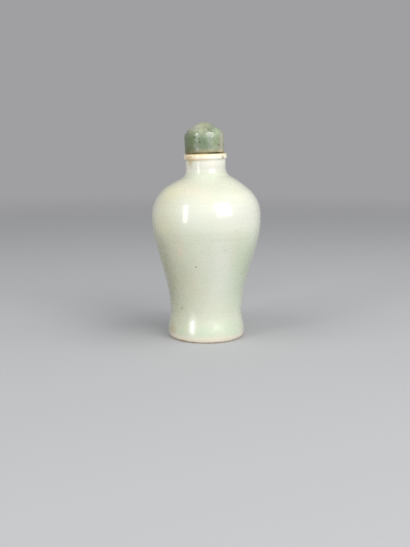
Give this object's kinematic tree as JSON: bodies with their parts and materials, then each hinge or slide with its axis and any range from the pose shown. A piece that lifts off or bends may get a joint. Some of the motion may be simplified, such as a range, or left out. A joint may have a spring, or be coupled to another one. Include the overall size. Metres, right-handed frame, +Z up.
{
  "type": "snuff bottle",
  "caption": "Small waisted porcelain bottle with high rounded shoulders, short neck and pale celadon glaze, closed by a domed mottled green stone cap on a cork.",
  "frame": {"origin": "centre of the foot, on the surface that the bottle stands on", "axes": "+Z up along the bottle, +X to the right and -Y towards the viewer in the picture; neck and stopper lean a little to -X"},
  "size_m": [0.0384, 0.0384, 0.0751],
  "materials": {
    "celadon_glaze": "pale grey-green glaze, glossy, thin and cream at the lip, bare buff paste at the foot edge",
    "jade": "polished, mottled dark and light green with a paler side",
    "cork": "matt brown cork"
  },
  "bodies": {
    "root": {"bottle": "celadon_glaze", "stopper_cap": "jade", "stopper_cork": "cork"}
  },
  "joints": []
}
